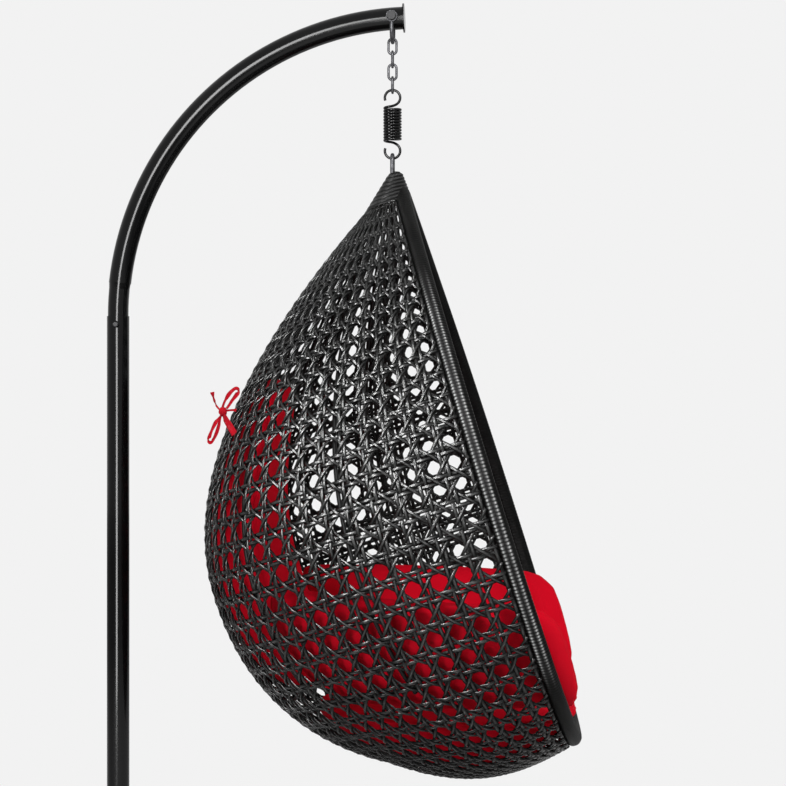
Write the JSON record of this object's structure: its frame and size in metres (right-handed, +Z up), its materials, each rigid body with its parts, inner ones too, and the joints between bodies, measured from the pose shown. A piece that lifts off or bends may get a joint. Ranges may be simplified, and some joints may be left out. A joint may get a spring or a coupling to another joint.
{
  "type": "hanging egg chair",
  "caption": "Woven teardrop basket seat with cushions, hung by a chain and a coil spring from a curved pole on a round tube base.",
  "frame": {"origin": "on the floor, in the middle of the base ring", "axes": "+Z up; the basket opens towards -Y and the pole stands at +Y; the chair is the same on both sides of the X = 0 plane, the ribbon tie and bolt heads apart"},
  "size_m": [0.9998, 0.9998, 1.9588],
  "materials": {
    "tube_black": "gloss black powder coat",
    "bolt_zinc": "zinc plated",
    "foot_rubber": "matt black",
    "chain_steel": "dull dark steel",
    "spring_black": "satin black",
    "frame_steel": "satin black",
    "wicker": "dark charcoal synthetic rattan",
    "cushion_red": "bright red woven polyester"
  },
  "bodies": {
    "stand": {"base_spine": "tube_black", "base_ring_left": "tube_black", "base_ring_right": "tube_black", "base_crossbar": "tube_black", "ring_bolts": "bolt_zinc", "crossbar_bolts": "bolt_zinc", "rubber_feet": "foot_rubber", "pole_socket": "tube_black", "socket_bolts": "bolt_zinc", "lower_pole": "tube_black", "curved_pole": "tube_black", "joint_bolt": "bolt_zinc", "end_cap": "tube_black", "hanger_bolt": "bolt_zinc", "hanger_nut": "bolt_zinc", "hanger_washers": "bolt_zinc"},
    "hanger": {"hanger_shackle": "chain_steel"},
    "link_1": {"chain_link_1": "chain_steel"},
    "link_2": {"chain_link_2": "chain_steel"},
    "link_3": {"chain_link_3": "chain_steel"},
    "link_4": {"chain_link_4": "chain_steel"},
    "spring": {"spring": "spring_black"},
    "basket": {"basket_loop": "chain_steel", "basket_crown": "wicker", "rim_tube": "frame_steel", "rim_wrap": "wicker", "rib_back": "frame_steel", "rib_left_rear": "frame_steel", "rib_left_front": "frame_steel", "rib_right_rear": "frame_steel", "rib_right_front": "frame_steel", "seat_hoop": "frame_steel", "woven_shell": "wicker", "seat_cushion": "cushion_red", "back_cushion": "cushion_red", "arm_cushion_left": "cushion_red", "arm_cushion_right": "cushion_red", "cushion_tie": "cushion_red"}
  },
  "joints": [
    {"name": "swing", "type": "hinge", "parent": "stand", "child": "hanger", "pos_m": [0, -0.08505, 1.92866], "axis": [1, 0, 0], "range_deg": [-20, 5]},
    {"name": "sway", "type": "hinge", "parent": "hanger", "child": "link_1", "pos_m": [0, -0.08505, 1.88846], "axis": [0, 1, 0], "range_deg": [-15, 15]},
    {"name": "twist_1", "type": "hinge", "parent": "link_1", "child": "link_2", "pos_m": [0, -0.08505, 1.8601], "axis": [0, 0, 1], "range_deg": [-20, 20]},
    {"name": "twist_2", "type": "hinge", "parent": "link_2", "child": "link_3", "pos_m": [0, -0.08505, 1.8344], "axis": [0, 0, 1], "range_deg": [-20, 20]},
    {"name": "twist_3", "type": "hinge", "parent": "link_3", "child": "link_4", "pos_m": [0, -0.08505, 1.8087], "axis": [0, 0, 1], "range_deg": [-20, 20]},
    {"name": "bounce", "type": "slide", "parent": "link_4", "child": "spring", "axis": [0, 0, 1], "range_m": [-0.03, 0], "stiffness_N_per_m": 27000, "springref_m": 0.0165, "deforming": ["spring"]},
    {"name": "rock", "type": "hinge", "parent": "spring", "child": "basket", "pos_m": [0, -0.08505, 1.65586], "axis": [1, 0, 0], "range_deg": [-10, 5]}
  ]
}
